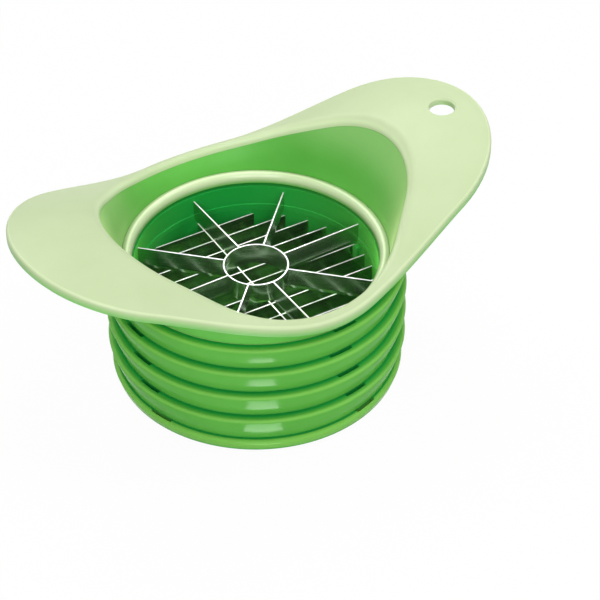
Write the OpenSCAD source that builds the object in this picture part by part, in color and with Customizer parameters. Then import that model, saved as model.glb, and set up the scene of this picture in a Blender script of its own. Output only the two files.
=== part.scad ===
// Press-down fruit and vegetable cutter: a two-eared handle with a funnel mouth
// on a stack of interchangeable blade inserts and a closed base.
// Millimetres. Origin at the middle of the base's underside, +Z up,
// +X along the handle towards the ear with the hanging hole.

/* [Stack] */
// Outer radius of every ring at its top ledge
stack_r = 52.2; // [51.5:0.1:60]
// How much narrower a ring is at its foot than at its ledge
ring_taper = 2.6; // [1.5:0.1:3]
// Width of a ring from its bore to the edge of its ledge
ring_w = 9.9; // [9:0.1:12]
// Height that one insert adds to the stack
ring_pitch = 10.4; // [9.8:0.1:13]
// Thickness of the moulded walls and webs of a ring
ring_wall = 2; // [1.6:0.1:2.4]
// Radius of the rounded edge of each ring's ledge
ledge_r = 1.2; // [1.1:0.1:1.5]
// Radius on the bottom outer edge of each ring
foot_r = 1.2; // [0.5:0.1:1.4]

/* [Spigots] */
// How far an insert's spigot drops into the ring below
spigot_depth = 3.1; // [2.6:0.1:3.6]
// Inward step of the spigot's bore below the seat
spigot_step = 0.3; // [0.1:0.05:0.6]
// Wall of the spigot
spigot_wall = 2.1; // [1.6:0.1:2.4]
// Radial clearance between spigot and socket
spigot_gap = 0.3; // [0.2:0.05:0.5]
// Gap left under a seated spigot
spigot_floor_gap = 0.3; // [0.2:0.05:0.6]
// Chamfer on spigot and socket mouths
lead_in = 0.3; // [0.1:0.05:0.5]
// Stiffening ribs under each ring
rib_count = 12; // [6:1:16]
// Thickness of a stiffening rib
rib_t = 1.4; // [1:0.1:2]

/* [Prising pockets] */
// Pockets round the ledge of each ring
pry_count = 4; // [2:1:6]
// Width of a pocket
pry_w = 9; // [6:0.5:12]
// Depth of a pocket below the ledge
pry_depth = 4; // [1.5:0.1:4.2]
// Depth of a pocket in the base
base_pry_depth = 3; // [1.5:0.1:3.4]
// How far a pocket reaches in under the ring above
pry_under = 1.2; // [0.6:0.1:1.6]
// How far a pocket reaches out beyond the ring above
pry_reach = 0.7; // [0.5:0.1:1.2]
// Angle from a ring's own X axis to its first pocket
pry_angle = 5; // [0:1:45]

/* [Turn of each piece as stacked] */
// Turn of the wedge insert
wedge_turn = 1.8; // [-20:0.1:20]
// Turn of the stick insert
stick_turn = 4; // [-20:0.1:20]
// Turn of the segment insert
segment_turn = 8; // [-20:0.1:20]
// Turn of the base
base_turn = 14; // [-20:0.1:20]

/* [Base] */
// How far the base's ledge stands in from the rings' ledges
base_inset = 1; // [0:0.1:1.5]
// How much narrower the base is at its foot than at its ledge
base_taper = 0.8; // [0.4:0.1:2]
// Thickness of the base's floor
floor_t = 1.2; // [1:0.1:2.5]
// Gap between the lowest blades and the floor
floor_gap = 0.55; // [0.4:0.05:1.5]

/* [Blades] */
// Thickness of a blade
blade_t = 0.5; // [0.4:0.05:0.8]
// Height of a blade
blade_h = 8; // [6.5:0.1:8]
// Depth of a blade's top edge below the ring's top
blade_drop = 5.45; // [5:0.05:6]
// Height of the ground bevel
bevel_h = 1.3; // [0.6:0.1:2]
// Thickness left at the cutting edge
edge_t = 0.12; // [0.08:0.02:0.2]
// How far a blade's end is moulded into the ring
tab_depth = 1.1; // [0.8:0.1:1.2]
// Clearance round a moulded-in blade end and in a half-lap
blade_gap = 0.04; // [0.02:0.01:0.08]

/* [Wedge insert] */
// Number of wedges
wedge_count = 8; // [6:1:10]
// Outer radius of the core cutter
core_r = 11.4; // [8:0.1:14]
// Wall of the core cutter
core_t = 0.5; // [0.4:0.1:1]

/* [Slice insert] */
// Number of parallel blades
slice_count = 12; // [8:2:14]
// Distance from the outermost blades to the ring's bore
slice_margin = 4.9; // [3:0.1:8]
// Width of the locating rib on the ring's bore
key_w = 2.6; // [2:0.1:4]
// Height of the locating rib
key_h = 5.5; // [4:0.1:6]
// Height of the locating rib's foot above the seat
key_z = 1; // [0.5:0.1:1.2]
// How far the locating rib stands out of the bore
key_out = 1.6; // [0.8:0.1:2]
// Sideways offset of the locating rib from the ring's X axis
key_y = 0.9; // [0:0.1:1]

/* [Stick insert] */
// Number of blades each way
stick_count = 7; // [5:1:9]
// Distance from the outermost blades to the ring's bore
stick_margin = 9.3; // [6:0.1:12]

/* [Segment insert] */
// Number of segments
segment_count = 6; // [4:1:8]
// Outer radius of the hub
hub_r = 6; // [4:0.5:9]

/* [Handle] */
// How far the mouth's sides flare beyond the throat
side_flare = 3.9; // [3:0.1:6]
// How far the mouth's ends flare beyond the throat
end_flare = 9.1; // [7:0.1:14]
// Radius of the mouth's ends
mouth_end_r = 37; // [32:0.5:42]
// Width of the brim at the sides of the mouth
lip_w = 3.6; // [3.4:0.1:8]
// Length of each ear beyond the mouth
ear_len = 32.4; // [26:0.2:45]
// Radius of the ears' ends
ear_r = 39.4; // [32:0.2:42]
// Height of the brim's turned-down edge
brim_t = 3.6; // [3:0.1:4.2]
// Thickness of the brim's plate
plate_t = 2.2; // [1.8:0.1:2.6]
// Thickness of the brim's turned-down edge
edge_w = 2.2; // [1.8:0.1:2.4]
// Radius on top of the turned-down edge
edge_r = 1.2; // [0.8:0.1:1.5]
// Radius on the bottom of the turned-down edge
hem_r = 0.6; // [0.3:0.1:0.7]
// Width of the brim's rounded inner edge at the ears
nose_len = 2; // [1:0.1:6]
// Height of the brim's middle above the stack
brim_lift = 23.2; // [22:0.1:30]
// Rise of the ears above the brim's middle
ear_rise = 11; // [6:0.5:18]
// Distance from the middle where the rise starts
ear_start = 16; // [8:0.5:24]
// Length over which the ears rise
ear_run = 63.5; // [50:0.5:75]
// Drop of the brim at the sides of the mouth
side_drop = 15; // [9:0.5:15.5]
// Width of the funnel's seat on the stack
funnel_seat = 3.5; // [2.5:0.1:4]
// Wall of the funnel
funnel_wall = 1.8; // [1.4:0.1:1.9]
// Height at which the funnel's outside starts to flare
collar_h = 1.6; // [1.5:0.1:4]
// Inward bow of the funnel's wall at mid height
funnel_bow = 0.6; // [0:0.1:1]
// Diameter of the hanging hole
hole_d = 9; // [6:0.1:12]
// Distance from the ear's tip to the hole's centre
hole_inset = 12.8; // [10:0.2:16]

/* [Throat ring] */
// Depth of the handle's spigot
throat_depth = 2.2; // [1.6:0.1:3]
// How much wider the throat ring's bore is than the insert's
throat_step = 0.3; // [0.1:0.05:0.6]
// Height of the bead above the stack
bead_h = 1.5; // [1:0.1:2]
// Width of the bead's outer slope
bead_out = 1.5; // [1:0.1:1.8]
// Depth of the bead's rounded inner edge
bead_round = 2.4; // [1.5:0.1:2.8]
// Moulding seam between the handle's pieces
seam = 0.05; // [0.02:0.01:0.1]

/* [Hidden] */
$fn = 96;
STATIONS = 96;
ARC_STEPS = 4;
LOFT_STEPS = 6;

// Largest shares of the brim's width that its rounded inner edge and the wall take
NOSE_SHARE = 0.4;
WALL_SHARE = 0.45;

// Share of the brim's height that its rounded inner edge takes
NOSE_DEPTH = 0.9;

// Width of the underside over which the plate thins to its full hollow
HOLLOW_RUN = 8;

// Levels of a ring, measured from its own seat
socket_depth = spigot_depth + spigot_floor_gap;
socket_z = ring_pitch - socket_depth;
blade_top = ring_pitch - blade_drop;
blade_bottom = blade_top - blade_h;
lap_z = (blade_top + blade_bottom) / 2;
base_h = floor_t + max(floor_gap - blade_bottom, socket_depth);

// Radii shared by everything that stacks
bore_r = stack_r - ring_w;
spigot_bore_r = bore_r - spigot_step;
spigot_r = spigot_bore_r + spigot_wall;
socket_r = spigot_r + spigot_gap;
foot_out_r = stack_r - ring_taper;
skirt_r = foot_out_r - ring_wall;
tab_r = bore_r + tab_depth;
base_r = stack_r - base_inset;

// Seat heights, from the base up
segment_z = base_h;
stick_z = segment_z + ring_pitch;
slice_z = stick_z + ring_pitch;
wedge_z = slice_z + ring_pitch;
handle_z = wedge_z + ring_pitch;

// Spacing of the blade rows
slice_pitch = 2 * (bore_r - slice_margin) / (slice_count - 1);
stick_pitch = 2 * (bore_r - stick_margin) / (stick_count - 1);

// Handle outlines
throat_r = foot_out_r - funnel_seat;
mouth_x = throat_r + end_flare;
mouth_y = throat_r + side_flare;
handle_x = mouth_x + ear_len;
handle_y = mouth_y + lip_w;
hole_x = handle_x - hole_inset;

lime = [0.79, 0.89, 0.66];
leaf = [0.36, 0.7, 0.3];
steel = [0.8, 0.82, 0.82];

// Points of an elliptical arc from angle a to angle b
function arc(cx, cy, rx, ry, a, b) =
    [for (k = [0:ARC_STEPS])
        let (t = a + (b - a) * k / ARC_STEPS)
        [cx + rx * cos(t), cy + ry * sin(t)]];

// Outer side of a ring of height h and ledge radius r, from its foot up to the ledge
function ring_side(r, taper, h) = concat(
    arc(r - taper - foot_r, foot_r, foot_r, foot_r, -90, 0),
    arc(r - ledge_r, h - ledge_r, ledge_r, ledge_r, 0, 90)
);

// Socket in the top of a ring of height h, from the ledge down to its floor
function socket_side(h) = [
    [socket_r + lead_in, h],
    [socket_r, h - lead_in],
    [socket_r, h - socket_depth],
    [bore_r, h - socket_depth]
];

// Section of an insert ring
function insert_section() = concat(
    ring_side(stack_r, ring_taper, ring_pitch),
    socket_side(ring_pitch),
    [
        [bore_r, -spigot_depth / 4],
        [spigot_bore_r, -spigot_depth / 4 - spigot_step],
        [spigot_bore_r, -spigot_depth],
        [spigot_r - lead_in, -spigot_depth],
        [spigot_r, lead_in - spigot_depth],
        [spigot_r, socket_z - ring_wall],
        [skirt_r + ring_taper * (socket_z - ring_wall) / ring_pitch, socket_z - ring_wall],
        [skirt_r, 0]
    ]
);

// Prising pockets of the given depth in the ledge of a ring of height h, whose
// outer ends lean with the ring's side
module pry_pockets(r, taper, h, depth) {
    from_r = foot_out_r - pry_under;
    to_r = foot_out_r + pry_reach;
    lean = taper * (depth - ledge_r) / (h - foot_r - ledge_r);
    for (i = [0:pry_count - 1])
        rotate(pry_angle + 360 * i / pry_count)
            intersection() {
                translate([from_r, -pry_w / 2, h - depth])
                    cube([r - from_r, pry_w, 2 * depth]);
                translate([0, 0, h - 2 * depth])
                    cylinder(r1 = to_r - 2 * lean, r2 = to_r + 2 * lean, h = 4 * depth);
            }
}

// Stiffening ribs in the channel under an insert ring
module under_ribs() {
    rib_len = skirt_r - spigot_r + ring_wall / 2;
    for (i = [0:rib_count - 1])
        rotate(360 * (i + 0.5) / rib_count)
            translate([spigot_r - ring_wall / 4, -rib_t / 2, 0])
                cube([rib_len, rib_t, socket_z - ring_wall / 2]);
}

// One moulded insert ring without its blade pockets
module ring_body() {
    difference() {
        union() {
            rotate_extrude() polygon(insert_section());
            under_ribs();
        }
        pry_pockets(stack_r, ring_taper, ring_pitch, pry_depth);
    }
}

// Blade strip along X between two ends, ground to an edge below
module strip(x0, x1) {
    translate([x0, 0, 0])
        rotate([90, 0, 90])
            linear_extrude(height = x1 - x0)
                polygon([
                    [-blade_t / 2, blade_top],
                    [-blade_t / 2, blade_bottom + bevel_h],
                    [-edge_t / 2, blade_bottom],
                    [edge_t / 2, blade_bottom],
                    [blade_t / 2, blade_bottom + bevel_h],
                    [blade_t / 2, blade_top]
                ]);
}

// Half length of a blade that lies at distance y from the middle
function blade_end(y) = sqrt(pow(tab_r, 2) - pow(abs(y) + blade_t / 2, 2));

// Pocket in a ring for a blade that lies at distance y from the middle
module pocket(y, from = 0) {
    reach_x = blade_end(y) + blade_gap;
    depth = blade_top + blade_gap + 2 * spigot_depth;
    translate([from, y - blade_t / 2 - blade_gap, blade_top + blade_gap - depth])
        cube([reach_x - from, blade_t + 2 * blade_gap, depth]);
}

// Blade across the ring at distance y, with its half-lap notches
module cross_strip(y, laps, from_top) {
    lap_w = blade_t + 2 * blade_gap;
    lap_h = blade_h;
    difference() {
        translate([0, y, 0]) strip(-blade_end(y), blade_end(y));
        for (x = laps)
            translate([
                x - lap_w / 2,
                y - blade_t,
                from_top ? lap_z : lap_z + blade_gap - lap_h
            ])
                cube([lap_w, 2 * blade_t, lap_h]);
    }
}

// Short tube in the middle of an insert, ground to an edge below
module tube_cutter(outer_r, wall) {
    rotate_extrude()
        polygon([
            [outer_r - wall, blade_top],
            [outer_r, blade_top],
            [outer_r, blade_bottom + bevel_h],
            [outer_r - wall + edge_t, blade_bottom],
            [outer_r - wall, blade_bottom]
        ]);
}

// Place of blade i in a row, measured from the middle
function slice_y(i) = (i - (slice_count + 1) / 2) * slice_pitch;
function stick_y(i) = (i - (stick_count + 1) / 2) * stick_pitch;

// Handle geometry

// Share of the ears' rise reached at a distance x from the middle
function rise(x) =
    let (t = max(0, min(1, (abs(x) - ear_start) / ear_run)))
    (1 - cos(180 * t)) / 2;

// Height of the brim's upper surface
function brim_z(x, y) =
    handle_z + brim_lift + ear_rise * rise(x) - side_drop * pow(y / handle_y, 2);

// Distance from the middle to an oval made of a side circle, two end
// circles and their tangents, in the direction a
function oval_r(a, half_len, half_w, end_r) =
    let (
        c = half_len - end_r,
        tangent = acos((half_w - end_r) / c),
        t = acos(abs(cos(a))),
        end_t = atan2(end_r * sin(tangent), c + end_r * cos(tangent))
    )
    t < end_t ? c * cos(t) + sqrt(pow(end_r, 2) - pow(c * sin(t), 2))
    : t < tangent ? half_w / cos(tangent - t)
    : half_w;

function mouth_r(a) = oval_r(a, mouth_x, mouth_y, mouth_end_r);
function rim_r(a) = oval_r(a, handle_x, handle_y, ear_r);

// Point of the brim at radius r in the direction a, dz below or above its top
function brim_point(a, r, dz) =
    let (x = r * cos(a), y = r * sin(a))
    [x, y, brim_z(x, y) + dz];

// Width of the brim's rounded inner edge in the direction a
function nose_w(a) = min(nose_len, NOSE_SHARE * (rim_r(a) - mouth_r(a)));

// Distance from the middle to the inside and the outside of the funnel's top
function wall_in(a) = mouth_r(a) - nose_w(a) / 2;
function wall_out(a) = wall_in(a) + min(funnel_wall, WALL_SHARE * (rim_r(a) - wall_in(a)));

// Section of the brim in the direction a: a plate with a rounded inner edge,
// a turned-down outer edge and a hollow underside between them
function brim_section(a) =
    let (
        inner = wall_in(a),
        outer = rim_r(a),
        nose = nose_w(a),
        nose_h = NOSE_DEPTH * brim_t,
        flat_in = inner + nose,
        flat_out = outer - edge_r,
        hollow_in = wall_out(a),
        hollow_out = max(hollow_in + seam, outer - edge_w),
        room = hollow_out - hollow_in,
        slope = min(brim_t - plate_t, room / 4),
        hollow = (brim_t - plate_t) * min(1, room / HOLLOW_RUN)
    )
    concat(
        [brim_point(a, inner, -brim_t)],
        [for (p = arc(flat_in, -nose_h, nose, nose_h, 180, 90)) brim_point(a, p[0], p[1])],
        [for (k = [1:ARC_STEPS - 1])
            brim_point(a, flat_in + (flat_out - flat_in) * k / ARC_STEPS, 0)],
        [for (p = arc(flat_out, -edge_r, edge_r, edge_r, 90, 0)) brim_point(a, p[0], p[1])],
        [for (p = arc(outer - hem_r, hem_r - brim_t, hem_r, hem_r, 0, -90))
            brim_point(a, p[0], p[1])],
        [brim_point(a, hollow_out, -brim_t)],
        [for (k = [0:ARC_STEPS])
            brim_point(
                a,
                hollow_out - slope - (room - 2 * slope) * k / ARC_STEPS,
                hollow - brim_t
            )],
        [brim_point(a, hollow_in, -brim_t)]
    );

// Section of the funnel in the direction a, from its seat up to the brim and back
function funnel_section(a) =
    let (
        inner = wall_in(a),
        under = wall_out(a),
        top_in = brim_point(a, inner, -brim_t - seam),
        top_out = brim_point(a, under, -brim_t - seam),
        low_in = handle_z + bead_h / 2,
        low_out = handle_z + collar_h
    )
    concat(
        [[throat_r * cos(a), throat_r * sin(a), handle_z]],
        [for (k = [0:LOFT_STEPS])
            let (
                t = k / LOFT_STEPS,
                r = throat_r + (inner - throat_r) * t - funnel_bow * sin(180 * t)
            )
            [r * cos(a), r * sin(a), low_in + (top_in[2] - low_in) * t]],
        [for (k = [0:LOFT_STEPS])
            let (
                t = k / LOFT_STEPS,
                r = under + (foot_out_r - under) * t - funnel_bow * sin(180 * t)
            )
            [r * cos(a), r * sin(a), top_out[2] + (low_out - top_out[2]) * t]],
        [for (p = arc(foot_out_r - foot_r, handle_z + foot_r, foot_r, foot_r, 0, -90))
            [p[0] * cos(a), p[0] * sin(a), p[1]]]
    );

// Closed skin through a ring of sections
module ring_skin(sections) {
    n = len(sections);
    m = len(sections[0]);
    polyhedron(
        points = [for (s = sections) for (p = s) p],
        faces = [for (i = [0:n - 1]) for (j = [0:m - 1])
            let (
                a = i * m + j,
                b = i * m + (j + 1) % m,
                c = ((i + 1) % n) * m + (j + 1) % m,
                d = ((i + 1) % n) * m + j
            )
            each [[a, b, c], [a, c, d]]]
    );
}

// Sub-parts of the handle

// Pale brim with its two ears and the hanging hole
module handle_grip() {
    color(lime)
        difference() {
            ring_skin([for (i = [0:STATIONS - 1]) brim_section(360 * i / STATIONS)]);
            translate([hole_x, 0, handle_z])
                cylinder(d = hole_d, h = 2 * (brim_lift + ear_rise));
        }
}

// Funnel that runs from the round collar up to the oval mouth
module handle_funnel() {
    color(leaf)
        ring_skin([for (i = [0:STATIONS - 1]) funnel_section(360 * i / STATIONS)]);
}

// Pale ring with a rounded bead, whose spigot centres the handle on the stack
module throat_ring() {
    inner = bore_r + throat_step;
    outer = throat_r - seam;
    crest = outer - bead_out;
    color(lime)
        translate([0, 0, handle_z])
            rotate_extrude()
                polygon(concat(
                    [
                        [inner, -throat_depth],
                        [spigot_r - lead_in, -throat_depth],
                        [spigot_r, lead_in - throat_depth],
                        [spigot_r, 0],
                        [outer, 0]
                    ],
                    arc(crest, bead_h / 2, bead_out, bead_h / 2, 0, 90),
                    [for (k = [1:ARC_STEPS])
                        let (t = 90 + 90 * k / ARC_STEPS)
                        [
                            crest + (crest - inner) * cos(t),
                            bead_h - bead_round * (1 - sin(t))
                        ]]
                ));
}

// Sub-parts of the wedge insert

module wedge_ring() {
    color(leaf)
        translate([0, 0, wedge_z])
            rotate(wedge_turn)
                difference() {
                    ring_body();
                    for (i = [1:wedge_count])
                        rotate(360 * (i - 1) / wedge_count)
                            pocket(0, core_r);
                }
}

// Core cutter that the wedge blades meet
module wedge_core() {
    color(steel)
        translate([0, 0, wedge_z])
            tube_cutter(core_r, core_t);
}

module wedge_blade(i) {
    color(steel)
        translate([0, 0, wedge_z])
            rotate(wedge_turn + 360 * (i - 1) / wedge_count)
                strip(core_r + blade_gap, blade_end(0));
}

// Sub-parts of the slice insert

module slice_ring() {
    color(leaf)
        translate([0, 0, slice_z]) {
            difference() {
                ring_body();
                for (i = [1:slice_count])
                    for (side = [0, 1])
                        mirror([side, 0, 0])
                            pocket(slice_y(i));
                for (side = [0, 1])
                    mirror([0, side, 0])
                        rotate(90)
                            pocket(0);
            }
            for (side = [0, 1])
                mirror([side, 0, 0])
                    locating_rib();
        }
}

// Rounded rib on the bore of the slice ring
module locating_rib() {
    translate([bore_r, key_y, key_z]) {
        translate([-key_out, -key_w / 2, 0])
            cube([key_out + ring_wall / 2, key_w, key_h - key_w / 2]);
        translate([-key_out, 0, key_h - key_w / 2])
            rotate([0, 90, 0])
                cylinder(d = key_w, h = key_out + ring_wall / 2);
    }
}

module slice_blade(i) {
    color(steel)
        translate([0, 0, slice_z])
            cross_strip(slice_y(i), [0], true);
}

module slice_cross_blade() {
    color(steel)
        translate([0, 0, slice_z])
            rotate(90)
                cross_strip(0, [for (i = [1:slice_count]) slice_y(i)], false);
}

// Sub-parts of the stick insert

module stick_ring() {
    color(leaf)
        translate([0, 0, stick_z])
            rotate(stick_turn)
                difference() {
                    ring_body();
                    for (quarter = [0:3])
                        rotate(90 * quarter)
                            for (i = [1:stick_count])
                                pocket(stick_y(i));
                }
}

module stick_blade(i) {
    color(steel)
        translate([0, 0, stick_z])
            rotate(stick_turn)
                cross_strip(stick_y(i), [for (k = [1:stick_count]) stick_y(k)], true);
}

module stick_cross_blade(i) {
    color(steel)
        translate([0, 0, stick_z])
            rotate(stick_turn + 90)
                cross_strip(stick_y(i), [for (k = [1:stick_count]) stick_y(k)], false);
}

// Sub-parts of the segment insert

module segment_ring() {
    color(leaf)
        translate([0, 0, segment_z])
            rotate(segment_turn)
                difference() {
                    ring_body();
                    for (i = [1:segment_count])
                        rotate(360 * (i - 1) / segment_count)
                            pocket(0, hub_r);
                }
}

// Small tube that the segment blades meet
module segment_hub() {
    color(steel)
        translate([0, 0, segment_z])
            tube_cutter(hub_r, core_t);
}

module segment_blade(i) {
    color(steel)
        translate([0, 0, segment_z])
            rotate(segment_turn + 360 * (i - 1) / segment_count)
                strip(hub_r + blade_gap, blade_end(0));
}

// Closed base that the stack stands on
module base() {
    color(leaf)
        rotate(base_turn)
            difference() {
                rotate_extrude()
                    polygon(concat(
                        [[0, 0]],
                        ring_side(base_r, base_taper, base_h),
                        socket_side(base_h),
                        [[bore_r, floor_t], [0, floor_t]]
                    ));
                pry_pockets(base_r, base_taper, base_h, base_pry_depth);
            }
}

handle_grip();
handle_funnel();
throat_ring();
wedge_ring();
wedge_core();
for (i = [1:wedge_count])
    wedge_blade(i);
slice_ring();
slice_cross_blade();
for (i = [1:slice_count])
    slice_blade(i);
stick_ring();
for (i = [1:stick_count])
    stick_blade(i);
for (i = [1:stick_count])
    stick_cross_blade(i);
segment_ring();
segment_hub();
for (i = [1:segment_count])
    segment_blade(i);
base();
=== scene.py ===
import bmesh
import bpy
import math
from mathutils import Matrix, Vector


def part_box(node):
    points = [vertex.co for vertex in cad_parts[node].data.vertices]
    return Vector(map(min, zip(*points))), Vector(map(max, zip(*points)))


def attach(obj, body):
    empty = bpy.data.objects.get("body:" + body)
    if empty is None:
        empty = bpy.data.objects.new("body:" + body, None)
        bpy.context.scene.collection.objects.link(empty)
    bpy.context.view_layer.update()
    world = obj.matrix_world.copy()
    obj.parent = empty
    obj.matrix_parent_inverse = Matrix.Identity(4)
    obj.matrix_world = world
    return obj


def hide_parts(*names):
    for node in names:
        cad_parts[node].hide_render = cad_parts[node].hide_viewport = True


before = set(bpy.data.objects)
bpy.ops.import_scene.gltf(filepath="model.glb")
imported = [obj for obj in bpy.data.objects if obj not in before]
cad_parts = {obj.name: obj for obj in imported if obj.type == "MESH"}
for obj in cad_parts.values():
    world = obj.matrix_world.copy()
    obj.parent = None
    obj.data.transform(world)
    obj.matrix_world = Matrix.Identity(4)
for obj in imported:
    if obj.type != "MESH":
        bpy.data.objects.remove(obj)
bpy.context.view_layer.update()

# Base: a shallow closed dish that the stack stands on, injection moulded in
# glossy leaf-green plastic. The lowest insert drops into its socket.
stations = 192
smooth_angle = math.radians(28)
base_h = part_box("base")[1].z
base_r = 0.0512
base_taper = 0.0008
base_floor = 0.0012
base_pocket = 0.003
base_turn = math.radians(14)
foot_r = 0.0012
foot_out_r = 0.0496
ledge_r = 0.0012
bore_r = 0.0423
socket_r = 0.0444
socket_depth = 0.0034
lead_in = 0.0003
socket_break = 0.0001
pocket_count = 4
pocket_w = 0.009
pocket_from = 0.0484
pocket_to = 0.0503
pocket_angle = math.radians(5)
groove_h = 0.0006
pocket_edge = 0.0001
pocket_back = 0.0004
# Painted shade on the bore walls, stronger towards the back.
bore_painted_shade = 0.55
bore_shade_swing = 0.45
# Painted light: the whole base is tinted with the highlight colour.
base_painted_light = 1.0
plastic_ior = 1.5
cloud_scale = 45.0
cloud_from = 0.32
cloud_to = 0.68
bloom_scale = 260.0
mottle_from = 0.3
mottle_to = 0.7
skin_scale = 2400.0
skin_depth = 0.00005
leaf_deep = (0.091, 0.400, 0.052, 1.0)
leaf_pale = (0.104, 0.430, 0.060, 1.0)
# Painted highlight colour for the rounded ledges. It is also laid thinly over whole rings and the base as
# painted light.
leaf_painted_highlight = (0.205, 0.545, 0.092, 1.0)
# Painted shade colour for the grooves, pockets and bore walls of the rings.
leaf_painted_shade = (0.012, 0.350, 0.055, 1.0)


def bow(r, z, across, up, start, end, steps=6):
    turns = [math.radians(start + (end - start) * step / steps) for step in range(steps + 1)]
    return [(r + across * math.cos(turn), z + up * math.sin(turn)) for turn in turns]


def circle(r, z):
    def ring(angle):
        return (r * math.cos(angle), r * math.sin(angle), z)
    return ring


def draw_out(name, rings, hollow=True):
    bpy.ops.object.select_all(action="DESELECT")
    bpy.ops.mesh.primitive_circle_add(vertices=stations, radius=1.0)
    piece = bpy.context.active_object
    piece.name = name
    bpy.ops.object.mode_set(mode="EDIT")
    bpy.ops.mesh.select_all(action="SELECT")
    for count, ring in enumerate(rings):
        if count:
            bpy.ops.mesh.extrude_edges_move()
        shape = bmesh.from_edit_mesh(piece.data)
        for point in shape.verts:
            if point.select:
                point.co = ring(math.atan2(point.co.y, point.co.x))
        bmesh.update_edit_mesh(piece.data)
    bpy.ops.mesh.select_all(action="DESELECT")
    bpy.ops.mesh.select_mode(type="EDGE")
    bpy.ops.mesh.select_non_manifold()
    if hollow:
        bpy.ops.mesh.bridge_edge_loops()
    else:
        bpy.ops.mesh.fill_holes(sides=0)
    bpy.ops.mesh.select_all(action="SELECT")
    bpy.ops.mesh.normals_make_consistent(inside=False)
    bpy.ops.object.mode_set(mode="OBJECT")
    return piece


def side_outline(r, taper, low, high):
    foot = bow(r - taper - foot_r, low + foot_r, foot_r, foot_r, -90, 0)
    ledge = bow(r - ledge_r, high - ledge_r, ledge_r, ledge_r, 0, 90, 8)
    lean = taper * groove_h / (high - low - foot_r - ledge_r)
    return foot + [(r - taper + lean, low + foot_r + groove_h)] + ledge + [(foot_out_r, high)]


def socket_outline(high):
    return [
        (socket_r + lead_in, high),
        (socket_r, high - lead_in),
        (socket_r, high - socket_depth),
        (bore_r + socket_break, high - socket_depth),
        (bore_r, high - socket_depth - socket_break),
    ]


def combine(piece, tool, operation):
    bpy.ops.object.select_all(action="DESELECT")
    piece.select_set(True)
    bpy.context.view_layer.objects.active = piece
    cut = piece.modifiers.new("cut", "BOOLEAN")
    cut.operation = operation
    cut.object = tool
    bpy.ops.object.modifier_apply(modifier=cut.name)
    bpy.data.objects.remove(tool)


def join_all(pieces):
    bpy.ops.object.select_all(action="DESELECT")
    for piece in pieces:
        piece.select_set(True)
    bpy.context.view_layer.objects.active = pieces[0]
    bpy.ops.object.join()
    bpy.ops.object.transform_apply(location=True, rotation=True, scale=True)
    return pieces[0]


def block(r0, r1, wide, low, high, turn):
    middle = (r0 + r1) / 2
    bpy.ops.mesh.primitive_cube_add(
        size=1.0,
        location=(middle * math.cos(turn), middle * math.sin(turn), (low + high) / 2),
        rotation=(0.0, 0.0, turn),
        scale=(r1 - r0, wide, high - low),
    )
    return bpy.context.active_object


def cut_pockets(piece, r, taper, low, high, depth, turn):
    lean = taper * (depth - ledge_r) / (high - low - foot_r - ledge_r)
    bpy.ops.mesh.primitive_cone_add(
        vertices=stations,
        radius1=pocket_to - 2 * lean,
        radius2=pocket_to + 2 * lean,
        depth=4 * depth,
        location=(0.0, 0.0, high),
    )
    tool = join_all([bpy.context.active_object])
    turns = [turn + pocket_angle + math.tau * step / pocket_count for step in range(pocket_count)]
    notches = [block(pocket_from, r, pocket_w, high - depth, high + depth, at) for at in turns]
    combine(tool, join_all(notches), "INTERSECT")
    combine(piece, tool, "DIFFERENCE")


def add_node(tree, kind, **inputs):
    node = tree.nodes.new(kind)
    for socket, value in inputs.items():
        node.inputs[socket.replace("_", " ")].default_value = value
    return node


def noise_ramp(tree, place, deep, pale):
    cloud = add_node(tree, "ShaderNodeTexNoise", Scale=cloud_scale, Detail=3.0, Roughness=0.55)
    tint = tree.nodes.new("ShaderNodeValToRGB")
    tint.color_ramp.elements[0].position = cloud_from
    tint.color_ramp.elements[0].color = deep
    tint.color_ramp.elements[1].position = cloud_to
    tint.color_ramp.elements[1].color = pale
    tree.links.new(place.outputs["Object"], cloud.inputs["Vector"])
    tree.links.new(cloud.outputs["Fac"], tint.inputs["Fac"])
    return tint.outputs["Color"]


def moulded_plastic(name, deep, pale, gloss, dull, shine, grain):
    material = bpy.data.materials.new(name)
    material.use_nodes = True
    tree = material.node_tree
    shader = tree.nodes["Principled BSDF"]
    shader.inputs["IOR"].default_value = plastic_ior
    shader.inputs["Specular IOR Level"].default_value = shine
    place = tree.nodes.new("ShaderNodeTexCoord")
    tree.links.new(noise_ramp(tree, place, deep, pale), shader.inputs["Base Color"])

    bloom = add_node(tree, "ShaderNodeTexNoise", Scale=bloom_scale, Detail=4.0, Roughness=0.6)
    mottle = add_node(
        tree, "ShaderNodeMapRange", From_Min=mottle_from, From_Max=mottle_to, To_Min=gloss, To_Max=dull)
    tree.links.new(place.outputs["Object"], bloom.inputs["Vector"])
    tree.links.new(bloom.outputs["Fac"], mottle.inputs["Value"])
    tree.links.new(mottle.outputs["Result"], shader.inputs["Roughness"])

    skin = add_node(tree, "ShaderNodeTexNoise", Scale=skin_scale, Detail=2.0)
    relief = add_node(tree, "ShaderNodeBump", Strength=grain, Distance=skin_depth)
    tree.links.new(place.outputs["Object"], skin.inputs["Vector"])
    tree.links.new(skin.outputs["Fac"], relief.inputs["Height"])
    tree.links.new(relief.outputs["Normal"], shader.inputs["Normal"])
    return material


def soft_sheen(material, weight, spread, colour):
    shader = material.node_tree.nodes["Principled BSDF"]
    shader.inputs["Sheen Weight"].default_value = weight
    shader.inputs["Sheen Roughness"].default_value = spread
    shader.inputs["Sheen Tint"].default_value = colour


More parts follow.
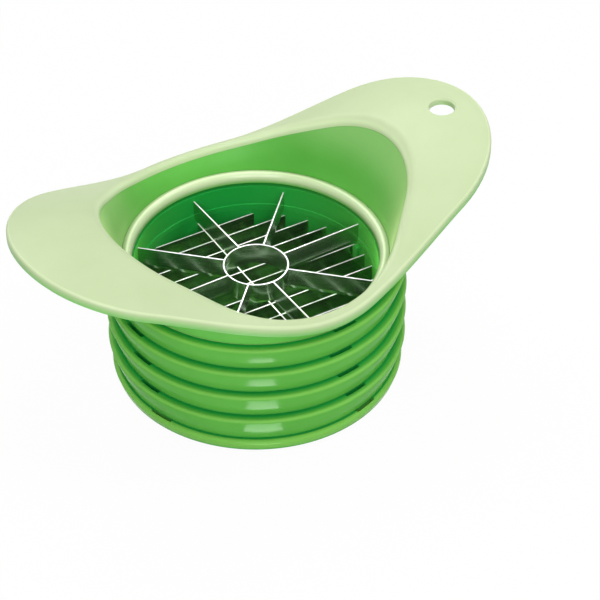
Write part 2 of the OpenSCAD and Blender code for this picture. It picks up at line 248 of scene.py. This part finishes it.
def tint_by(material, attribute, colour):
    tree = material.node_tree
    shader = tree.nodes["Principled BSDF"]
    plain = shader.inputs["Base Color"].links[0].from_socket
    amount = tree.nodes.new("ShaderNodeAttribute")
    amount.attribute_name = attribute
    blend = tree.nodes.new("ShaderNodeMix")
    blend.data_type = "RGBA"
    tree.links.new(amount.outputs["Fac"], blend.inputs["Factor"])
    tree.links.new(plain, blend.inputs[6])
    if isinstance(colour, tuple):
        blend.inputs[7].default_value = colour
    else:
        tree.links.new(colour, blend.inputs[7])
    tree.links.new(blend.outputs[2], shader.inputs["Base Color"])


def fade(below, start, end):
    share = max(0.0, min(1.0, (below - start) / (end - start)))
    return 1.0 - share * share * (3 - 2 * share)


def paint(piece, attribute, amount_at):
    layer = piece.data.attributes.new(attribute, "FLOAT", "POINT")
    for point in piece.data.vertices:
        layer.data[point.index].value = amount_at(*point.co)


def shade_ring(piece, r, taper, low, high, glow):
    lean = taper / (high - low - foot_r - ledge_r)

    # Painted shade: the bore walls (darker towards the back), the pockets and the groove at the foot are
    # tinted deep green.
    def painted_shade_at(x, y, z):
        away = math.hypot(x, y)
        wall = r - lean * max(0.0, high - ledge_r - z)
        if away < socket_r + lead_in + pocket_edge:
            return bore_painted_shade + bore_shade_swing * y / away if z > base_h else 0.0
        if z > high - pocket_edge:
            return fade(away, foot_out_r, r - ledge_r)
        if z < low + foot_r + groove_h + pocket_edge:
            return fade(z, low + pocket_edge, low + foot_r + groove_h)
        return 1.0 if away < min(wall, r - ledge_r) - pocket_back else 0.0

    # Painted highlight: a pale line along each ledge's rounded edge, over an even painted lightening of the
    # whole part.
    def painted_highlight_at(x, y, z):
        away = math.hypot(x, y)
        if away < r - ledge_r - pocket_edge or z < high - ledge_r - pocket_edge:
            return glow
        turn = math.atan2(z - high + ledge_r, away - r + ledge_r)
        return max(glow, math.sin(2 * max(0.0, min(math.pi / 2, turn))))

    paint(piece, "depth", painted_shade_at)
    paint(piece, "edge", painted_highlight_at)


def leaf_green(name):
    material = moulded_plastic(name, leaf_deep, leaf_pale, gloss=0.12, dull=0.2, shine=0.05, grain=0.03)
    # Painted highlight and painted light from the edge attribute.
    tint_by(material, "edge", leaf_painted_highlight)
    # Painted shade from the depth attribute.
    tint_by(material, "depth", leaf_painted_shade)
    return material


leaf_plastic = leaf_green("leaf_plastic")


def fit_piece(piece, body, node, material):
    bpy.ops.object.select_all(action="DESELECT")
    piece.select_set(True)
    bpy.context.view_layer.objects.active = piece
    bpy.ops.object.shade_smooth_by_angle(angle=smooth_angle)
    piece.data.materials.clear()
    piece.data.materials.append(material)
    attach(piece, body)
    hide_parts(node)


base_outline = side_outline(base_r, base_taper, 0.0, base_h)
base_outline += socket_outline(base_h)
base_outline += [(bore_r, base_floor)]
base = draw_out("base_dish", [circle(r, z) for r, z in base_outline], hollow=False)
cut_pockets(base, base_r, base_taper, 0.0, base_h, base_pocket, base_turn)
shade_ring(base, base_r, base_taper, 0.0, base_h, base_painted_light)
fit_piece(base, "base", "base", leaf_plastic)

# Segment insert: a moulded ring with six stainless strips and a small hub
# tube cast into it. It stands in the base's socket.
ring_r = 0.0522
ring_taper = 0.0026
ring_wall = 0.002
ring_pitch = 0.0104
ring_pocket = 0.004
spigot_r = 0.0441
spigot_bore_r = 0.0420
spigot_depth = 0.0031
rib_count = 12
rib_t = 0.0014
segment_z = base_h
segment_turn = math.radians(8)
hub_r = 0.006
tube_wall = 0.0005
blade_top = 0.00495
blade_bottom = -0.00305
blade_bevel = 0.0013
blade_edge = 0.00012
face_metal = 0.96
sawn_metal = 0.2
sawn_rough = 0.45
sawn_from = 0.8
sawn_full = 0.95
grind_scale = (60.0, 60.0, 2600.0)
# Painted reflection: the steel is coloured green for the green plastic that it reflects.
steel_green_reflection_dark = (0.36, 0.50, 0.33, 1.0)
steel_green_reflection_light = (0.46, 0.62, 0.42, 1.0)
# Painted shade colour for the tops of the lower blades.
painted_shade_edge = (0.10, 0.30, 0.08, 1.0)
# Painted light: every insert ring is lightened a little with the highlight colour.
ring_painted_light = 0.14
# Sheen colour of the painted light on the bore faces.
bore_painted_sheen = (0.250, 1.000, 0.150, 1.0)


def insert_ring(name, low, turn):
    high = low + ring_pitch
    web = high - socket_depth - ring_wall
    skirt_r = foot_out_r - ring_wall
    step_z = low - spigot_depth / 4
    outline = side_outline(ring_r, ring_taper, low, high)
    outline += socket_outline(high)
    outline += [
        (bore_r, step_z),
        (spigot_bore_r, step_z + spigot_bore_r - bore_r),
        (spigot_bore_r, low - spigot_depth),
        (spigot_r - lead_in, low - spigot_depth),
        (spigot_r, low - spigot_depth + lead_in),
        (spigot_r, web),
        (skirt_r + ring_taper * (web - low) / ring_pitch, web),
        (skirt_r, low),
    ]
    ring = draw_out(name, [circle(r, z) for r, z in outline])
    cut_pockets(ring, ring_r, ring_taper, low, high, ring_pocket, turn)
    turns = [turn + math.tau * (step + 0.5) / rib_count for step in range(rib_count)]
    over = ring_wall / 4
    ribs = [block(spigot_r - over, skirt_r + over, rib_t, low, web + over, at) for at in turns]
    ring = join_all([ring] + ribs)
    shade_ring(ring, ring_r, ring_taper, low, high, ring_painted_light)
    return ring


# Painted light: a copy of the leaf plastic with a full green sheen, put on the bore faces only so that they
# read lighter.
bore_painted_light_plastic = leaf_green("bore_painted_light_plastic")
soft_sheen(bore_painted_light_plastic, weight=1.0, spread=0.4, colour=bore_painted_sheen)


def paint_bore_light(ring):
    ring.data.materials.append(bore_painted_light_plastic)
    for face in ring.data.polygons:
        if math.hypot(face.center.x, face.center.y) < socket_r + lead_in + pocket_edge:
            face.material_index = 1


def tube_cutter(name, low, r):
    inner = r - tube_wall
    outline = [
        (inner, low + blade_top),
        (r, low + blade_top),
        (r, low + blade_bottom + blade_bevel),
        (inner + blade_edge, low + blade_bottom),
        (inner, low + blade_bottom),
    ]
    return draw_out(name, [circle(at, z) for at, z in outline])


def ground_steel(name, dark, light, edge, gloss, dull):
    material = bpy.data.materials.new(name)
    material.use_nodes = True
    tree = material.node_tree
    shader = tree.nodes["Principled BSDF"]
    place = tree.nodes.new("ShaderNodeTexCoord")
    along = tree.nodes.new("ShaderNodeMapping")
    along.inputs["Scale"].default_value = grind_scale
    grain = add_node(tree, "ShaderNodeTexNoise", Scale=1.0, Detail=4.0, Roughness=0.6)
    tree.links.new(place.outputs["Object"], along.inputs["Vector"])
    tree.links.new(along.outputs["Vector"], grain.inputs["Vector"])

    tone = tree.nodes.new("ShaderNodeValToRGB")
    tone.color_ramp.elements[0].position = mottle_from
    tone.color_ramp.elements[0].color = dark
    tone.color_ramp.elements[1].position = mottle_to
    tone.color_ramp.elements[1].color = light
    tree.links.new(grain.outputs["Fac"], tone.inputs["Fac"])

    polish = add_node(
        tree, "ShaderNodeMapRange", From_Min=mottle_from, From_Max=mottle_to, To_Min=gloss, To_Max=dull)
    tree.links.new(grain.outputs["Fac"], polish.inputs["Value"])

    # Faces that point up take the edge colour, less metal and more roughness. The roughness and metalness
    # are the ground finish. The colour is a painted highlight on the upper blades and painted shade on the
    # lower ones.
    split = tree.nodes.new("ShaderNodeSeparateXYZ")
    upward_faces = add_node(tree, "ShaderNodeMapRange", From_Min=sawn_from, From_Max=sawn_full)
    metal = add_node(tree, "ShaderNodeMapRange", To_Min=face_metal, To_Max=sawn_metal)
    rough = tree.nodes.new("ShaderNodeMix")
    rough.inputs["B"].default_value = sawn_rough
    tree.links.new(place.outputs["Normal"], split.inputs["Vector"])
    tree.links.new(split.outputs["Z"], upward_faces.inputs["Value"])
    tree.links.new(upward_faces.outputs["Result"], metal.inputs["Value"])
    tree.links.new(upward_faces.outputs["Result"], rough.inputs["Factor"])
    tree.links.new(polish.outputs["Result"], rough.inputs["A"])
    tree.links.new(metal.outputs["Result"], shader.inputs["Metallic"])
    tree.links.new(rough.outputs["Result"], shader.inputs["Roughness"])

    blank = tree.nodes.new("ShaderNodeMix")
    blank.data_type = "RGBA"
    blank.inputs[7].default_value = edge
    tree.links.new(upward_faces.outputs["Result"], blank.inputs["Factor"])
    tree.links.new(tone.outputs["Color"], blank.inputs[6])
    tree.links.new(blank.outputs[2], shader.inputs["Base Color"])
    return material


# Painted shade: the lower inserts' steel, the same as the upper blades but with dark green tops.
painted_shade_steel = ground_steel("painted_shade_steel", steel_green_reflection_dark, steel_green_reflection_light, painted_shade_edge, gloss=0.2, dull=0.28)


def finish_strips(prefix, material):
    for name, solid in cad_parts.items():
        if name.startswith(prefix):
            solid.data.materials.clear()
            solid.data.materials.append(material)


segment_ring = insert_ring("segment_moulding", segment_z, segment_turn)
fit_piece(segment_ring, "segment_insert", "segment_ring", leaf_plastic)
paint_bore_light(segment_ring)
segment_hub = tube_cutter("segment_hub_tube", segment_z, hub_r)
fit_piece(segment_hub, "segment_insert", "segment_hub", painted_shade_steel)
finish_strips("segment_blade_", painted_shade_steel)

# Stick insert: seven strips each way, half-lapped into a grid and cast into
# their own moulded ring, which stands on the segment insert.
stick_z = segment_z + ring_pitch
stick_turn = math.radians(4)
stick_ring = insert_ring("stick_moulding", stick_z, stick_turn)
fit_piece(stick_ring, "stick_insert", "stick_ring", leaf_plastic)
paint_bore_light(stick_ring)
finish_strips("stick_blade_", painted_shade_steel)
finish_strips("stick_cross_blade_", painted_shade_steel)

# Slice insert: twelve parallel strips and one that crosses under them, cast
# into a moulded ring with a locating rib on each side of its bore.
slice_z = stick_z + ring_pitch
key_w = 0.0026
key_h = 0.0055
key_lift = 0.001
key_low = slice_z + key_lift
key_out = 0.0016
key_y = 0.0009
key_stations = 48
key_painted_shade = 0.7
# Near-white blade tops: partly the matt ground edge, partly a painted highlight.
ground_edge_and_highlight = (0.90, 0.91, 0.90, 1.0)


def locating_rib(side):
    reach = key_out + ring_wall / 2
    middle = key_low + key_h - key_w / 2
    bpy.ops.mesh.primitive_cylinder_add(
        vertices=key_stations,
        radius=key_w / 2,
        depth=reach,
        location=(side * (bore_r - key_out + reach / 2), key_y, middle),
        rotation=(0.0, math.pi / 2, 0.0),
    )
    rib = join_all([bpy.context.active_object])
    for point in rib.data.vertices:
        if point.co.z < middle - key_w / 100:
            point.co.z = key_low
    # Painted shade: the rib is tinted most of the way to the bore's deep green.
    paint(rib, "depth", lambda x, y, z: key_painted_shade)
    return rib


slice_ring = insert_ring("slice_moulding", slice_z, 0.0)
slice_ring = join_all([slice_ring, locating_rib(1), locating_rib(-1)])
fit_piece(slice_ring, "slice_insert", "slice_ring", leaf_plastic)
paint_bore_light(slice_ring)
blade_steel = ground_steel("blade_steel", steel_green_reflection_dark, steel_green_reflection_light, ground_edge_and_highlight, gloss=0.18, dull=0.26)
finish_strips("slice_blade_", blade_steel)
finish_strips("slice_cross_blade", blade_steel)

# Wedge insert: eight strips round a core tube, cast into the top ring of the
# stack, right under the handle.
wedge_z = slice_z + ring_pitch
wedge_turn = math.radians(1.8)
core_r = 0.0114
wedge_ring = insert_ring("wedge_moulding", wedge_z, wedge_turn)
fit_piece(wedge_ring, "wedge_insert", "wedge_ring", leaf_plastic)
paint_bore_light(wedge_ring)
wedge_core = tube_cutter("wedge_core_tube", wedge_z, core_r)
fit_piece(wedge_core, "wedge_insert", "wedge_core", blade_steel)
finish_strips("wedge_blade_", blade_steel)

# Throat ring: a pale ring with a rounded bead at the bottom of the funnel.
# Its spigot centres the handle on whichever insert is on top.
stack_top = wedge_z + ring_pitch
throat_r = 0.0461
throat_seam = 0.00005
throat_bore_r = 0.0426
throat_depth = 0.0022
bead_h = 0.0015
bead_out = 0.0015
bead_round = 0.0024
highlight_inset = 0.0004
highlight_core = 0.0001
highlight_fade = 0.0009
bead_painted_light = 0.5
throat_dark = 0.0020
throat_light = 0.0004
lime_deep = (0.480, 0.590, 0.325, 1.0)
lime_pale = (0.510, 0.620, 0.355, 1.0)
# Painted highlight colour for the bead's crest and for the brim's crease and mouth edge.
lime_painted_highlight = (0.800, 0.930, 0.580, 1.0)
grass_deep = (0.120, 0.490, 0.067, 1.0)
grass_pale = (0.140, 0.527, 0.082, 1.0)


def shaded_lime(name, gloss, dull):
    material = moulded_plastic(name, lime_deep, lime_pale, gloss, dull, shine=0.5, grain=0.015)
    tree = material.node_tree
    place = next(node for node in tree.nodes if node.type == "TEX_COORD")
    # Painted highlight and painted light from the edge attribute.
    tint_by(material, "edge", lime_painted_highlight)
    tint_by(material, "depth", noise_ramp(tree, place, grass_deep, grass_pale))
    return material


bead_plastic = shaded_lime("bead_plastic", gloss=0.14, dull=0.2)
bead_crest = throat_r - throat_seam - bead_out
throat_outline = [
    (throat_bore_r, stack_top - throat_depth),
    (spigot_r - lead_in, stack_top - throat_depth),
    (spigot_r, stack_top - throat_depth + lead_in),
    (spigot_r, stack_top),
    (throat_r - throat_seam, stack_top),
]
throat_outline += bow(bead_crest, stack_top + bead_h / 2, bead_out, bead_h / 2, 0, 90)
throat_outline += bow(
    bead_crest, stack_top + bead_h - bead_round, bead_crest - throat_bore_r, bead_round, 90, 180, 10)[1:]
throat_ring = draw_out("throat_bead", [circle(r, z) for r, z in throat_outline])


# Painted highlight: a pale line along the bead's crest. The bead's inner slope is lightened as painted
# light.
def bead_light(x, y, z):
    inside = bead_crest - highlight_inset - math.hypot(x, y)
    highlight = fade(abs(inside), highlight_core, highlight_fade)
    return max(highlight, bead_painted_light) if inside > 0 else highlight


# The throat's inner wall turns to the grass green towards its bottom: partly the two-tone colour, partly
# painted shade under the bead.
def throat_depth_at(x, y, z):
    return fade(z, stack_top - throat_dark, stack_top - throat_light)


paint(throat_ring, "depth", throat_depth_at)
paint(throat_ring, "edge", bead_light)
fit_piece(throat_ring, "handle", "throat_ring", bead_plastic)

# Funnel: a thin grass-green wall moulded round the throat, which opens from
# the round collar to the oval mouth under the brim.
half_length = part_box("handle_grip")[1].x
half_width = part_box("handle_grip")[1].y
mouth_flare_x = 0.0091
mouth_flare_y = 0.0039
mouth_length = throat_r + mouth_flare_x
mouth_width = throat_r + mouth_flare_y
mouth_end_r = 0.037
ear_r = 0.0394
brim_lift = 0.0232
brim_t = 0.0036
ear_rise = 0.011
ear_start = 0.016
ear_run = 0.0635
side_drop = 0.015
nose_length = 0.002
nose_share = 0.4
wall_share = 0.45
funnel_wall = 0.0018
funnel_bow = 0.0006
collar_h = 0.0016
wall_steps = 12
rim_painted_light = 0.36
glow_from = 0.5
glow_full = 0.95
glow_low = 0.3
glow_high = 1.0
# Painted light colour for the funnel's ends and rim.
funnel_painted_light = (0.550, 0.830, 0.360, 1.0)
funnel_sheen = (0.820, 1.000, 0.480, 1.0)


def brim_height(x, y):
    share = max(0.0, min(1.0, (abs(x) - ear_start) / ear_run))
    rise = ear_rise * (1 - math.cos(math.pi * share)) / 2
    return stack_top + brim_lift + rise - side_drop * (y / half_width) ** 2


def oval(angle, length, width, end_r):
    reach = length - end_r
    tangent = math.acos((width - end_r) / reach)
    turn = math.acos(min(1.0, abs(math.cos(angle))))
    end_turn = math.atan2(end_r * math.sin(tangent), reach + end_r * math.cos(tangent))
    if turn < end_turn:
        return reach * math.cos(turn) + math.sqrt(end_r ** 2 - (reach * math.sin(turn)) ** 2)
    if turn < tangent:
        return width / math.cos(tangent - turn)
    return width


def rim(angle):
    return oval(angle, half_length, half_width, ear_r)


def nose(angle):
    return min(nose_length, nose_share * (rim(angle) - oval(angle, mouth_length, mouth_width, mouth_end_r)))


def wall_in(angle):
    return oval(angle, mouth_length, mouth_width, mouth_end_r) - nose(angle) / 2


def wall_out(angle):
    return wall_in(angle) + min(funnel_wall, wall_share * (rim(angle) - wall_in(angle)))


def on_brim(angle, r, below):
    x = r * math.cos(angle)
    y = r * math.sin(angle)
    return (x, y, brim_height(x, y) - below)


def funnel_ring(low_r, low_z, high_r, share):
    def ring(angle):
        top = on_brim(angle, high_r(angle), brim_t)[2]
        r = low_r + (high_r(angle) - low_r) * share - funnel_bow * math.sin(math.pi * share)
        return (r * math.cos(angle), r * math.sin(angle), low_z + (top - low_z) * share)
    return ring


wall_shares = [step / wall_steps for step in range(wall_steps + 1)]
collar_outline = bow(foot_out_r - foot_r, stack_top + foot_r, foot_r, foot_r, 0, -90)
funnel_rings = [circle(throat_r, stack_top)]
funnel_rings += [funnel_ring(throat_r, stack_top + bead_h / 2, wall_in, share) for share in wall_shares]
funnel_rings += [
    funnel_ring(foot_out_r, stack_top + collar_h, wall_out, share) for share in reversed(wall_shares)]
funnel_rings += [circle(r, z) for r, z in collar_outline]
funnel = draw_out("funnel_wall", funnel_rings)


# Painted light: the funnel wall is tinted paler towards its two ends and its upper rim.
def funnel_painted_light_at(x, y, z):
    along = abs(x) / math.hypot(x, y)
    rise = (z - stack_top) / brim_lift
    return rim_painted_light * (1 - fade(along, glow_from, glow_full)) * (1 - fade(rise, glow_low, glow_high))


funnel_plastic = moulded_plastic(
    "funnel_plastic", grass_deep, grass_pale, gloss=0.42, dull=0.5, shine=0.2, grain=0.03)
# Painted light from the edge attribute.
tint_by(funnel_plastic, "edge", funnel_painted_light)
soft_sheen(funnel_plastic, weight=0.75, spread=0.4, colour=funnel_sheen)
paint(funnel, "edge", funnel_painted_light_at)
fit_piece(funnel, "handle", "handle_funnel", funnel_plastic)

# Brim: the pale saddle-shaped grip with two ears and a hanging hole, moulded
# on the funnel's edge. Its rim is turned down and its underside is hollow.
nose_drop = 0.9
nose_depth = nose_drop * brim_t
plate_t = 0.0022
edge_w = 0.0022
edge_r = 0.0012
hem_r = 0.0006
hollow_run = 0.008
nose_steps = 14
flat_steps = 10
edge_steps = 6
hole_r = 0.0045
hole_inset = 0.0128
hole_round = 0.0007
hole_painted_shade = 0.25
hole_light = 0.0003
hole_dark = 0.0012
nose_run = 0.0035
nose_part = 0.45
nose_edge = 0.0032
nose_painted_light = 0.75
nose_fade = 0.0018
edge_from = 0.0002
edge_fade = 0.0026
edge_green_and_shade = 0.85
edge_share = 0.99
crease_at = 0.00016
crease_core = 0.0001
crease_fade = 0.0004
crease_painted_highlight = 0.32
under_from = 0.0019
under_painted_shade = 0.6


def brim_ring(place):
    def ring(angle):
        return on_brim(angle, *place(angle))
    return ring


def nose_end(angle):
    return wall_in(angle) + min(nose_run, nose_part * (rim(angle) - wall_in(angle)))


def brim_nose(turn):
    return brim_ring(lambda angle: (
        nose_end(angle) - (nose_end(angle) - wall_in(angle)) * math.cos(turn),
        nose_depth * (1 - math.sin(turn))))


def brim_top(share):
    def place(angle):
        start = nose_end(angle)
        return (start + (rim(angle) - edge_r - start) * share, 0.0)
    return brim_ring(place)


def brim_edge(turn):
    return brim_ring(lambda angle: (
        rim(angle) - edge_r * (1 - math.sin(turn)), edge_r * (1 - math.cos(turn))))


def brim_hem(turn):
    return brim_ring(lambda angle: (
        rim(angle) - hem_r * (1 - math.cos(turn)), brim_t - hem_r * (1 - math.sin(turn))))


def hem_start(angle):
    return max(wall_out(angle) + throat_seam, rim(angle) - edge_w)


def brim_hollow(share):
    def place(angle):
        start = hem_start(angle)
        room = start - wall_out(angle)
        slope = min(brim_t - plate_t, room / 4)
        deep = (brim_t - plate_t) * min(1.0, room / hollow_run)
        return (start - slope - (room - 2 * slope) * share, brim_t - deep)
    return brim_ring(place)


quarter = math.pi / 2
brim_rings = [brim_ring(lambda angle: (wall_in(angle), brim_t))]
brim_rings += [brim_nose(quarter * step / nose_steps) for step in range(nose_steps + 1)]
brim_rings += [brim_top(step / flat_steps) for step in range(1, flat_steps)]
brim_rings += [brim_edge(quarter * step / edge_steps) for step in range(edge_steps + 1)]
brim_rings += [brim_hem(quarter * step / edge_steps) for step in range(edge_steps + 1)]
brim_rings += [brim_ring(lambda angle: (hem_start(angle), brim_t))]
brim_rings += [brim_hollow(step / flat_steps) for step in range(flat_steps + 1)]
brim_rings += [brim_ring(lambda angle: (wall_out(angle), brim_t))]
brim = draw_out("brim", brim_rings)

hole_x = half_length - hole_inset
hole_z = brim_height(hole_x, 0.0)
drill_outline = [(hole_r, hole_z - 2 * brim_t)]
drill_outline += bow(hole_r + hole_round, hole_z - hole_round, hole_round, hole_round, 180, 90, 8)
drill_outline += [(hole_r + hole_round, hole_z + 2 * brim_t)]
drill = draw_out("drill", [circle(r, z) for r, z in drill_outline], hollow=False)
drill.location.x = hole_x
drill = join_all([drill])
combine(brim, drill, "DIFFERENCE")


def under_brim(away, angle, below):
    return below > under_from and wall_in(angle) + edge_r < away < rim(angle) - hem_r


# Partly the two-tone moulding, partly painted shade. The mouth's inner face turns green below the pale
# skin. The turned-down rim greens towards its lower edge, partly as two-tone colour and partly as painted
# shade. The hole's wall and the hollow underside are painted shade.
def brim_green_and_shade(x, y, z):
    below = brim_height(x, y) - z
    away = math.hypot(x, y)
    angle = math.atan2(y, x)
    if math.hypot(x - hole_x, y) < hole_r + hole_round:
        return hole_painted_shade * (1.0 - fade(below, hole_light, hole_dark))
    if under_brim(away, angle, below):
        return under_painted_shade
    if away < nose_end(angle):
        return 1.0 - fade(below, nose_edge, brim_t)
    return edge_green_and_shade * (1.0 - fade(below, edge_from, edge_fade))


# Painted highlight: a pale line along the crease where the top meets the turned-down rim. Painted light
# keeps the mouth's rounded edge as pale as the top.
def brim_edge_light(x, y, z):
    below = brim_height(x, y) - z
    away = math.hypot(x, y)
    angle = math.atan2(y, x)
    if under_brim(away, angle, below):
        return 0.0
    if away > nose_end(angle):
        at_edge = away > rim(angle) - edge_share * edge_r
        return crease_painted_highlight * fade(abs(below - crease_at), crease_core, crease_fade) if at_edge else 0.0
    return nose_painted_light * (1.0 - fade(below, 0.0, nose_fade))


lime_plastic = shaded_lime("lime_plastic", gloss=0.42, dull=0.47)
paint(brim, "depth", brim_green_and_shade)
paint(brim, "edge", brim_edge_light)
fit_piece(brim, "handle", "handle_grip", lime_plastic)

# Floor: a plain white table top that runs out of sight on all sides and
# keeps a soft shadow of the stack.
floor_size = 8.0
floor_drop = 0.0002
floor_glow = 0.95
floor_grey = (0.86, 0.86, 0.86, 1.0)
white = (1.0, 1.0, 1.0, 1.0)
bpy.ops.mesh.primitive_plane_add(size=floor_size, location=(0.0, 0.0, -floor_drop))
floor = bpy.context.active_object
floor.name = "floor"
floor_paint = bpy.data.materials.new("white_table")
floor_paint.use_nodes = True
tree = floor_paint.node_tree
tree.nodes.clear()


def seen_directly(tree):
    ray = tree.nodes.new("ShaderNodeLightPath")
    first = add_node(tree, "ShaderNodeMath")
    first.operation = "MAXIMUM"
    second = add_node(tree, "ShaderNodeMath")
    second.operation = "MAXIMUM"
    tree.links.new(ray.outputs["Is Camera Ray"], first.inputs[0])
    tree.links.new(ray.outputs["Is Glossy Ray"], first.inputs[1])
    tree.links.new(first.outputs[0], second.inputs[0])
    tree.links.new(ray.outputs["Is Transmission Ray"], second.inputs[1])
    return second.outputs[0]


matt = add_node(tree, "ShaderNodeBsdfDiffuse", Color=floor_grey)
glow = add_node(tree, "ShaderNodeEmission", Color=white, Strength=1.0)
share = add_node(tree, "ShaderNodeMath")
share.operation = "MULTIPLY"
share.inputs[1].default_value = floor_glow
finish = tree.nodes.new("ShaderNodeMixShader")
out = tree.nodes.new("ShaderNodeOutputMaterial")
tree.links.new(seen_directly(tree), share.inputs[0])
tree.links.new(share.outputs[0], finish.inputs[0])
tree.links.new(matt.outputs[0], finish.inputs[1])
tree.links.new(glow.outputs[0], finish.inputs[2])
tree.links.new(finish.outputs[0], out.inputs["Surface"])
floor.data.materials.append(floor_paint)

# Studio light: a white tent, brighter overhead, with soft boxes at the front
# left, right, back and top. Small lamps light the right ear and the mouth, and
# a card at the foot of the stack makes the bright patch on each ring.
tent_low = 0.1
tent_top = 0.28
stack_middle = (0.0, 0.0, 0.04)
under_lamp = (0.0, 0.001, 0.04)
ear_middle = (0.07, 0.0, 0.075)
card_place = (-0.0287, -0.0564, 0.0005)
card_aim = (-0.0288, -0.0566, 0.1)
mouth_spread = math.radians(8)
world = bpy.data.worlds.new("white_tent")
bpy.context.scene.world = world
world.use_nodes = True
tree = world.node_tree
tree.nodes.clear()
tent = add_node(tree, "ShaderNodeBackground", Color=white)
place = tree.nodes.new("ShaderNodeTexCoord")
split = tree.nodes.new("ShaderNodeSeparateXYZ")
height = add_node(tree, "ShaderNodeMapRange", To_Min=tent_low, To_Max=tent_top)
tree.links.new(place.outputs["Generated"], split.inputs["Vector"])
tree.links.new(split.outputs["Z"], height.inputs["Value"])
tree.links.new(height.outputs["Result"], tent.inputs["Strength"])
backdrop = add_node(tree, "ShaderNodeBackground", Color=white, Strength=1.0)
mix = tree.nodes.new("ShaderNodeMixShader")
out = tree.nodes.new("ShaderNodeOutputWorld")
tree.links.new(seen_directly(tree), mix.inputs[0])
tree.links.new(tent.outputs[0], mix.inputs[1])
tree.links.new(backdrop.outputs[0], mix.inputs[2])
tree.links.new(mix.outputs[0], out.inputs["Surface"])


def soft_box(name, place, aim, wide, high, power):
    lamp = bpy.data.lights.new(name, "AREA")
    lamp.shape = "RECTANGLE"
    lamp.size = wide
    lamp.size_y = high
    lamp.energy = power
    box = bpy.data.objects.new(name, lamp)
    bpy.context.scene.collection.objects.link(box)
    box.location = place
    away = (aim[0] - place[0], aim[1] - place[1], aim[2] - place[2])
    flat = math.hypot(away[0], away[1])
    box.rotation_euler = (math.atan2(flat, -away[2]), 0.0, math.atan2(-away[0], away[1]))
    return box


soft_box("key_box", (-0.55, -0.95, 0.75), stack_middle, wide=0.9, high=0.9, power=11.0)
soft_box("side_box", (0.75, -0.3, 0.95), stack_middle, wide=0.6, high=0.6, power=4.0)
soft_box("back_box", (-0.05, 0.80, 0.90), stack_middle, wide=0.7, high=0.7, power=5.0)
soft_box("ear_box", (0.13, 0.11, 0.26), ear_middle, wide=0.14, high=0.14, power=0.09)
soft_box("top_box", (0.0, 0.0, 1.1), under_lamp, wide=0.3, high=0.3, power=1.6)
card = soft_box("front_card", card_place, card_aim, wide=0.016, high=0.02, power=0.014)
card.visible_diffuse = False
card.visible_camera = False
mouth = soft_box("mouth_box", (0.0, 0.0, 0.32), under_lamp, wide=0.05, high=0.05, power=0.012)
mouth.data.spread = mouth_spread

# Camera: a long lens at the photograph's angle, from the front left and
# looking down on the mouth.
sensor_width = 36.0
lens_length = 141.26
camera_place = (-0.30901, -0.55303, 0.55120)
camera_tilt = math.radians(90 - 39.7255)
camera_turn = math.radians(-30.57)
camera_data = bpy.data.cameras.new("camera")
camera_data.sensor_width = sensor_width
camera_data.lens = lens_length
camera = bpy.data.objects.new("camera", camera_data)
bpy.context.scene.collection.objects.link(camera)
camera.location = camera_place
camera.rotation_euler = (camera_tilt, 0.0, camera_turn)
bpy.context.scene.camera = camera
bpy.context.scene.view_settings.view_transform = "Standard"
